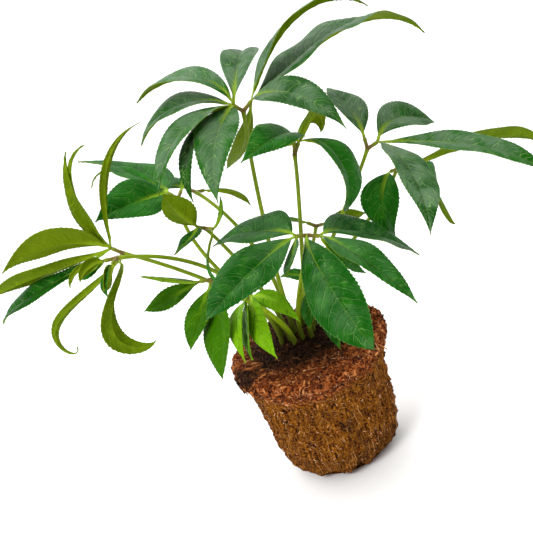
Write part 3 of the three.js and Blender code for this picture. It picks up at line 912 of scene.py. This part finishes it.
def grow(name, node, foot, hub, leaflets, arrive=0, finishes=MATURE):
    """One compound leaf as one piece, standing for one node.

    Its stalk meets the fork straight from the foot where arrive is 0, from below where it is more, and from
    above where it is less. A leaflet is a row of arm, bearing, rise, droop, sweep, length, width and roll,
    and where they are not the usual ones also bend and widest point, in degrees and millimetres.
    """
    draw = np.random.default_rng(sum(map(ord, name)))
    hub = np.array(hub, float)
    starts = {"middle": hub}
    for arm in ("left", "right"):
        lean = sum(compass(*np.radians(row[1:3])) for row in leaflets if row[0] == arm)
        starts[arm] = hub + FORK_ARM * lean / np.linalg.norm(lean)
    points, faces, near, far = fork_and_stalk(foot, hub, arrive, [starts["left"], starts["right"]])
    kinds = [2] * len(faces)
    points, near, far = [np.array(points)], [np.array(near)], [np.array(far)]
    shift = len(points[0])
    for leaflet in leaflets:
        skin, skin_faces, skin_kinds, skin_near, skin_far = blade(draw, starts[leaflet[0]], leaflet)
        points.append(skin)
        faces += [tuple(shift + k for k in f) for f in skin_faces]
        kinds += skin_kinds
        near.append(skin_near)
        far.append(skin_far)
        shift += len(skin)
    piece = new_piece(name, np.concatenate(points), faces, finishes)
    piece.data.polygons.foreach_set("material_index", kinds)
    for layer, values in (("near", near), ("far", far)):
        made = piece.data.attributes.new(layer, "FLOAT_VECTOR", "POINT")
        made.data.foreach_set("vector", np.concatenate(values).astype(np.float32).ravel())
    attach(piece, "root")
    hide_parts(node)


grow("tall_leaf", "leaf_tall", foot=(-6, 12), hub=(14, 0, 293), arrive=-0.75, leaflets=[
    ("left", 135, 102, 140, 30, 92, 34, 5, 0.6),
    ("left", 60, 45, 75, 25, 90, 28, 10, 1.2, 0.6),
    ("right", 26, 55, 103, -8, 135, 30, -20, 1.4, 0.4),
    ("right", 22, 22, 78, 7, 178, 50, -4, 1.8, 0.38),
    ("right", -55, 35, 95, 5, 95, 28, 15, 0.9, 0.4),
    ("left", 162, 40, 100, 20, 83, 32, -4),
    ("left", 211, 25, 100, 0, 98, 28, 0, 1.2, 0.45),
    ("left", 243, 10, 92, -5, 90, 30, -10, 1.2, 0.4),
    ("left", 206, 10, 106, 35, 90, 14, 5, 1.4),
    ("right", 120, -58, -38, -22, 130, 14, 15, 0.6, 0.4),
], finishes=SHEEN_PAINTED)

# ---- Centre leaf ----
# A younger leaf in front of the tall one, leathery like it: five short leaflets that fold downwards, grown
# in one with a thin straight stalk that stands in a hole in the ball.

grow("centre_leaf", "leaf_centre", foot=(8, 7), hub=(38, -5, 252), arrive=0.1, leaflets=[
    ("right", 265, 66, 75, -47, 100, 29, -34, 0.5, 0.45),
    ("right", -21, 26, 175, -45, 90, 44, -18, 0.7),
    ("right", 35, 40, 230, 30, 50, 20, -50, 2.4, 0.4),
    ("left", 241, 27, 20, 16, 52, 20, 10),
    ("left", 40, 30, 25, 15, 35, 4, 5),
])

# ---- Right leaf ----
# A full-grown leaf, leathery with painted grey sheen on top, that leans out to the right. Its stalk stands in
# the crown, and of the four leaflets on the stalk's two arms one is far longer than the others.

grow("right_leaf", "leaf_right", foot=(10, 13), hub=(91, 10, 231), leaflets=[
    ("left", 80, 48, 46, 30, 76, 28, 26, 0.7),
    ("right", 47, 42, 94, -15, 80, 32, 36, 0.7, 0.55),
    ("right", -13, -12, 50, 0, 142, 26, 15, 1.8),
    ("right", -73, 12, 42, -38, 128, 33, -37, 0.7, 0.45),
], finishes=SHEEN_PAINTED)

# ---- Back right leaf ----
# The leathery leaf behind the right one; its three leaflets show past the ends of that one. Its stalk stands
# in the back of the crown.

grow("back_right_leaf", "leaf_right_back", foot=(9, 22), hub=(114, 50, 192), arrive=0.3, leaflets=[
    ("left", -135, 16, 148, -20, 70, 36, -4, 0.7, 0.4),
    ("right", 20, -30, 135, 90, 85, 28, 90, 1.8, 0.55),
    ("right", 1, 4, 66, 20, 136, 26, -40, 2.2, 0.4),
])

# ---- Front leaf ----
# The largest flat leaf, spread like a hand in front of the crown; its broad middle leaflet hangs over the
# root ball. It is leathery, with patches of painted grey sheen on top, and its stalk stands in the front of
# the crown.

# The front leaf's top, with patches of painted grey sheen on faces that turn upwards.
FRONT_SHEEN_TOP = leaf_finish(
    "front_sheen_leaf_top",
    dark=(0.001, 0.058, 0.0001), light=(0.008, 0.125, 0.0002), sheen_tint=(0.030, 0.160, 0.008),
    vein=(0.145, 0.310, 0.080), rib=(0.300, 0.470, 0.025), roughness=0.32, depth=1.0, sheen=0.025,
    sheen_paint=0.26,
)
FRONT_SHEEN = [FRONT_SHEEN_TOP, *MATURE[1:]]
grow("front_leaf", "leaf_front", foot=(-2, 1), hub=(24, -60, 213), leaflets=[
    ("left", 125, 35, 65, 10, 95, 40, -5, 0.5, 0.4),
    ("left", 222, 19, 35, -2, 98, 34, -24, 0.6),
    ("middle", -100, 15, 50, 30, 125, 36, 35, 0.6, 0.6),
    ("right", -64, 11, 55, 0, 97, 28, -19, 0.8, 0.45),
    ("right", 48, 4, 61, -20, 118, 40, 27, 0.5, 0.45),
    ("right", 0, -65, -10, 5, 45, 22, 15),
    ("left", 250, -5, 5, -5, 45, 16, 35),
], finishes=FRONT_SHEEN)

# ---- Far left leaf ----
# The longest stalk, leaning far out to the left from its hole in the ball. Its leathery leaflets are turned
# over and show their undersides, and two of them curl round at the tip.

grow("far_left_leaf", "leaf_far_left", foot=(-16.5, 14.5), hub=(-103, -5, 227), arrive=-0.4, leaflets=[
    ("left", 186, 52, 75, 25, 86, 32, 50, 1),
    ("left", 172, -1, 20, -21, 114, 20, 50, 1.8, 0.55),
    ("left", 184, -11, 30, -60, 136, 19, -26, 2.4, 0.6),
    ("left", 180, 59, -60, -12, 82, 21, 40, 1, 0.4),
    ("right", 200, -20, 250, -60, 110, 8, 65, 4.5, 0.4),
    ("right", 285, 5, 225, -135, 110, 18, 60, 1.9),
    ("left", 75, 65, 70, -40, 110, 8, -100, 1.6, 0.4),
    ("left", 180, 70, -100, -40, 95, 14, 40, 2, 0.45),
])

# ---- Small far left leaf ----
# A small leathery leaf beside the longest one, its five short leaflets folded round one fork. Its stalk runs
# down beside the longest one to a hole of its own in the ball.

grow(
    "small_far_left_leaf", "leaf_far_left_small", foot=(-18, 5), hub=(-103, -42, 239), arrive=-1.2,
    leaflets=[
        ("left", 205, 30, 90, 10, 25, 14, 60),
        ("right", 255, -5, 5, 0, 32, 14, 80),
        ("left", 170, -20, 0, -10, 25, 14, -15),
        ("right", 245, 10, 45, 30, 38, 12, 40),
        ("left", 180, 20, 95, 0, 35, 8, 45, 1.4),
    ],
)

# ---- Upper left leaf ----
# A leathery leaf to the left of the tall one, with a broad dark blade and a long one that reaches out behind
# it. Its stalk stands in the left of the crown.

grow("upper_left_leaf", "leaf_upper_left", foot=(-18.5, 19.5), hub=(-54, 40, 236), arrive=2.2, leaflets=[
    ("left", 215, 35, 50, -20, 65, 44, -30, 0.8, 0.4),
    ("left", 100, 15, 5, 55, 115, 44, 20, 1.4, 0.4),
    ("right", 65, 15, 10, 15, 34, 8, 30),
    ("left", 120, 20, 75, 15, 115, 10, -5, 2.7, 0.4),
])

# ---- Back left leaf ----
# A leathery leaf at the back of the plant, mostly hidden by the ones in front: two leaflets on a stalk that
# stands in the back of the crown.

grow("back_left_leaf", "leaf_back_left", foot=(-6, 25), hub=(-41, 70, 226), arrive=-2, leaflets=[
    ("right", 40, -20, 45, 0, 55, 14, -10),
    ("left", 130, 20, 70, 0, 60, 26, 0),
])

# ---- Inner left leaf ----
# A small pale leaf between the stalks on the left: two leaflets and two narrow strips of blade, grown in one
# with a thin stalk that stands in the crown.

grow("inner_left_leaf", "leaf_left_inner", foot=(-11.5, 11.5), hub=(-42, 18, 214), arrive=-0.7, leaflets=[
    ("left", 195, 65, -5, 0, 38, 26, 55),
    ("left", 245, 0, 25, -45, 32, 20, 10, 1.4, 0.4),
    ("right", 20, 25, -60, 5, 26, 5, 15, 1),
    ("right", 235, -25, -30, 65, 80, 4, 55, 0.9),
])

# ---- Lower left leaf ----
# A half-grown leaf low on the left, softer and a lighter green than the full-grown ones: four leaflets on a
# short stalk that stands in the front of the crown.

HALF_GROWN = skins(
    "half_grown",
    top=dict(
        dark=(0.010, 0.066, 0.0001), light=(0.032, 0.125, 0.0002), sheen_tint=(0.048, 0.160, 0.001),
        vein=(0.120, 0.270, 0.010), rib=(0.180, 0.340, 0.010), roughness=0.36, depth=1.0, sheen=0.025,
    ),
    under=dict(
        dark=(0.100, 0.200, 0.002), light=(0.150, 0.270, 0.006), sheen_tint=(0.170, 0.290, 0.012),
        vein=(0.220, 0.350, 0.020), rib=(0.280, 0.430, 0.030), roughness=0.55, depth=-1.0, sheen=0.04,
    ),
    stalk=dict(green=(0.170, 0.270, 0.003), bright=(0.250, 0.360, 0.008)),
)
grow("lower_left_leaf", "leaf_lower_left", foot=(-11, 4.5), hub=(-49, -28, 193), leaflets=[
    ("left", 175, -10, 5, -10, 48, 18, -30),
    ("left", 191, 34, 5, 0, 43, 20, 15),
    ("right", 240, -5, 30, 0, 55, 22, 5, 0.9),
    ("right", 267, -8, 34, -12, 80, 28, 35, 0.9, 0.55),
], finishes=HALF_GROWN)

# ---- Young front leaf ----
# The youngest leaf, soft, bright yellow-green and still narrow, low in front of the crown: four leaflets on
# a short stalk that stands in the front of the ball's top.

YOUNG = skins(
    "young",
    top=dict(
        dark=(0.052, 0.195, 0.0006), light=(0.145, 0.345, 0.003), sheen_tint=(0.210, 0.420, 0.012),
        vein=(0.270, 0.490, 0.030), rib=(0.360, 0.570, 0.045), roughness=0.38, depth=1.0, sheen=0.02,
    ),
    under=dict(
        dark=(0.120, 0.235, 0.003), light=(0.185, 0.320, 0.008), sheen_tint=(0.210, 0.340, 0.015),
        vein=(0.260, 0.400, 0.025), rib=(0.310, 0.470, 0.035), roughness=0.55, depth=-1.0, sheen=0.04,
    ),
    stalk=dict(green=(0.190, 0.310, 0.004), bright=(0.280, 0.410, 0.010)),
)
grow("young_front_leaf", "leaf_young_front", foot=(-9, -3), hub=(-28, -38, 175), leaflets=[
    ("right", -55, 25, 75, 0, 50, 14, 25, 0.8, 0.4),
    ("right", -100, 10, 35, 25, 73, 17, 30, 0.6, 0.45),
    ("left", -116, 19, 65, 30, 70, 16, 30, 1.2, 0.4),
    ("left", -105, 0, 30, 15, 65, 18, 55, 1.7, 0.4),
], finishes=YOUNG)

# ---- Small leaves by the crown ----
# Two small leathery leaves that stay in the shade of the others. Their short stalks stand in the crown, one
# at its back and one at its front.

grow("small_back_leaf", "leaf_back_small", foot=(2, 20), hub=(38, 30, 179), leaflets=[
    ("left", 205, 45, 40, 40, 30, 8, -30, 1.5),
    ("right", 50, -20, -5, -30, 50, 15, -80),
])
grow("low_centre_leaf", "leaf_low_centre", foot=(5, 0), hub=(24, -12, 151), leaflets=[
    ("left", 175, 70, 80, 5, 28, 16, -5),
    ("left", 245, -5, 45, 0, 40, 18, 20),
    ("right", -95, -5, 50, 0, 55, 24, 50),
])

# ---- Studio ----
# A plain pale floor, soft light from all round and brighter from above, a large soft lamp on the left and a
# weaker one on the right, and the camera, which looks down on the plant a little and is held at a slant.

floor_finish = Finish("floor")
floor_finish.coat((0.86, 0.86, 0.86), 0.9, Specular_IOR_Level=0.0)
floor = new_piece(
    "floor", [(-9000, -9000, 0), (9000, -9000, 0), (9000, 9000, 0), (-9000, 9000, 0)], [(0, 1, 2, 3)],
    [floor_finish.material],
)

world = bpy.data.worlds.new("studio")
bpy.context.scene.world = world
world.use_nodes = True
world.node_tree.nodes["Background"].inputs["Color"].default_value = (1, 1, 1, 1)
direction = add_node(world.node_tree, "ShaderNodeTexCoord", {}, {}).outputs["Generated"]
towards = add_node(world.node_tree, "ShaderNodeVectorMath", {"operation": "DOT_PRODUCT"}, {
    "Vector": direction, "Vector_001": (0.0, 0.5, 0.866),
})
glow = add_node(world.node_tree, "ShaderNodeMapRange", {"interpolation_type": "SMOOTHSTEP"}, {
    "Value": towards.outputs["Value"], "From Min": 0.2, "From Max": 1.0, "To Min": 0.12, "To Max": 2.9,
})
seen = add_node(world.node_tree, "ShaderNodeLightPath", {}, {}).outputs["Is Camera Ray"]
plain = add_node(world.node_tree, "ShaderNodeMath", {"operation": "MAXIMUM"}, {
    "Value": seen, "Value_001": glow.outputs["Result"],
})
world.node_tree.links.new(plain.outputs["Value"], world.node_tree.nodes["Background"].inputs["Strength"])
bpy.context.scene.view_settings.view_transform = "Standard"


def lamp(name, place, aim, size, watts):
    light = bpy.data.lights.new(name, "AREA")
    light.shape, light.size, light.energy = "DISK", size, watts
    stand = bpy.data.objects.new(name, light)
    stand.visible_camera = False
    stand.location = place
    stand.rotation_euler = (Vector(aim) - Vector(place)).to_track_quat("-Z", "Y").to_euler()
    bpy.context.scene.collection.objects.link(stand)


lamp("key", (-0.9, -1.1, 1.3), (0, 0, 0.15), 0.8, 26)
lamp("fill", (1.3, -1.2, 0.5), (0, 0, 0.15), 0.9, 5.5)

CAMERA_ELEVATION = math.radians(24)
CAMERA_SLANT = math.radians(20.5)
CAMERA_DISTANCE = 0.75
CAMERA_AIM = Vector((-0.009, 0, 0.175))
LENS = 36 * 1000 / 533  # millimetres; a render 533 pixels wide then has 1000 pixels to the radian
forward = Vector((0, math.cos(CAMERA_ELEVATION), -math.sin(CAMERA_ELEVATION)))
level = Vector((1, 0, 0))
over = Vector((0, math.sin(CAMERA_ELEVATION), math.cos(CAMERA_ELEVATION)))
right = level * math.cos(CAMERA_SLANT) - over * math.sin(CAMERA_SLANT)
upward = level * math.sin(CAMERA_SLANT) + over * math.cos(CAMERA_SLANT)
camera_data = bpy.data.cameras.new("camera")
camera_data.lens, camera_data.sensor_width = LENS, 36
camera_data.clip_start, camera_data.clip_end = 0.01, 50
camera = bpy.data.objects.new("camera", camera_data)
bpy.context.scene.collection.objects.link(camera)
turned = Matrix((right, upward, -forward)).transposed().to_4x4()
camera.matrix_world = Matrix.Translation(CAMERA_AIM - forward * CAMERA_DISTANCE) @ turned
bpy.context.scene.camera = camera
